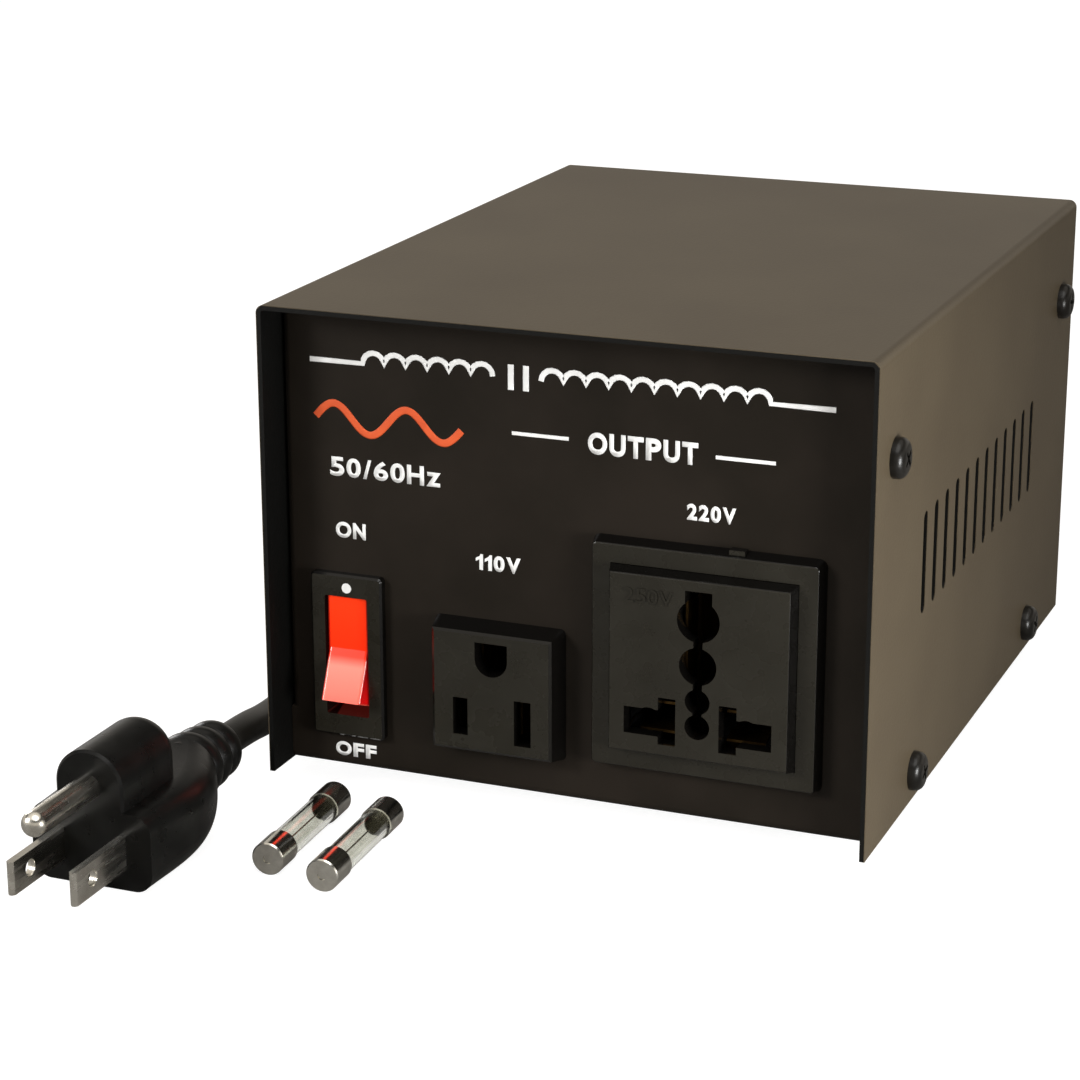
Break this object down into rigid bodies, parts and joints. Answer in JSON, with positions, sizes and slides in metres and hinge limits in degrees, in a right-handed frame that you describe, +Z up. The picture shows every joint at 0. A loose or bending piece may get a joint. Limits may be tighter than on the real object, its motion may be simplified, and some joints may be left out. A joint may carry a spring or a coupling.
{
  "type": "step-up and step-down voltage transformer",
  "caption": "Bench voltage transformer in a vented steel case with a lit rocker switch, a three-pin and a square multi-standard outlet, a rear fuse and selector, a corded plug and spare fuses.",
  "frame": {"origin": "on the table, under the middle of the case", "axes": "+X to the user's right facing the outlets, +Y from the outlets to the rear, +Z up"},
  "size_m": [0.1488, 0.3347, 0.098],
  "materials": {
    "cover_paint": "fine satin texture",
    "panel_paint": "satin",
    "black_screw": "semi-gloss",
    "zinc_steel": "zinc plated",
    "plated_cap": "nickel plated",
    "foot_rubber": "matte",
    "black_plastic": "semi-gloss",
    "dark_plastic": "matte",
    "red_lens": "translucent, lit",
    "lamp_glass": "clear",
    "clear_glass": "clear",
    "brass": "bright",
    "core_steel": "varnished laminations",
    "bobbin_nylon": "matte",
    "copper_wire": "enamelled copper",
    "yellow_tape": "polyester tape",
    "cord_pvc": "satin",
    "fuse_alloy": "tinned wire"
  },
  "bodies": {
    "case": {"bobbin": "bobbin_nylon", "chassis": "panel_paint", "cord_bushing": "cord_pvc", "core_e_stack": "core_steel", "core_i_stack": "core_steel", "core_strap": "zinc_steel", "cover": "cover_paint", "cover_screws": "black_screw", "earth_bolt": "zinc_steel", "earth_lug": "zinc_steel", "earth_nut": "zinc_steel", "feet": "foot_rubber", "foot_nuts": "zinc_steel", "foot_screws": "zinc_steel", "fuse_holder_body": "dark_plastic", "fuse_holder_contacts": "brass", "fuse_holder_nut": "dark_plastic", "inner_winding": "copper_wire", "outer_winding": "copper_wire", "outlet_back": "dark_plastic", "outlet_body": "black_plastic", "outlet_earth_clip": "brass", "outlet_line_clip": "brass", "outlet_neutral_clip": "brass", "plug_blades": "brass", "plug_body": "cord_pvc", "plug_ground_pin": "brass", "power_cord_coil": "cord_pvc", "power_cord_lead": "cord_pvc", "power_cord_tail": "cord_pvc", "selector_housing": "dark_plastic", "selector_plate": "zinc_steel", "selector_screws": "zinc_steel", "selector_tabs": "brass", "square_outlet_earth_clip": "brass", "square_outlet_face": "black_plastic", "square_outlet_frame": "black_plastic", "square_outlet_housing": "dark_plastic", "square_outlet_line_clip": "brass", "square_outlet_neutral_clip": "brass", "switch_housing": "black_plastic", "switch_lamp": "lamp_glass", "switch_tabs": "brass", "transformer_bolts": "zinc_steel", "transformer_nuts": "zinc_steel", "winding_tape": "yellow_tape"},
    "rocker": {"rocker": "red_lens"},
    "selector": {"selector_slider": "red_lens"},
    "fuse": {"fuse_glass": "clear_glass", "fuse_end_caps": "plated_cap", "fuse_wire": "fuse_alloy"},
    "fuse_cap": {"fuse_cap": "dark_plastic"},
    "spare_fuse_1": {"spare_fuse_1_glass": "clear_glass", "spare_fuse_1_end_caps": "plated_cap", "spare_fuse_1_wire": "fuse_alloy"},
    "spare_fuse_2": {"spare_fuse_2_glass": "clear_glass", "spare_fuse_2_end_caps": "plated_cap", "spare_fuse_2_wire": "fuse_alloy"}
  },
  "joints": [
    {"name": "rocker_press", "type": "hinge", "parent": "case", "child": "rocker", "pos_m": [-0.0458, -0.0648, 0.0284], "axis": [1, 0, 0], "range_deg": [0, 24]},
    {"name": "selector_slide", "type": "slide", "parent": "case", "child": "selector", "axis": [1, 0, 0], "range_m": [0, 0.0056]},
    {"name": "fuse_pull", "type": "slide", "parent": "case", "child": "fuse", "axis": [0, 1, 0], "range_m": [0, 0.045]},
    {"name": "fuse_cap_turn", "type": "hinge", "parent": "fuse", "child": "fuse_cap", "pos_m": [0.0475, 0.072, 0.058], "axis": [0, 1, 0], "range_deg": [0, 90]},
    {"name": "spare_fuse_1_lift", "type": "slide", "parent": "case", "child": "spare_fuse_1", "axis": [0, 0, 1], "range_m": [0, 0.03]},
    {"name": "spare_fuse_2_lift", "type": "slide", "parent": "case", "child": "spare_fuse_2", "axis": [0, 0, 1], "range_m": [0, 0.03]}
  ]
}
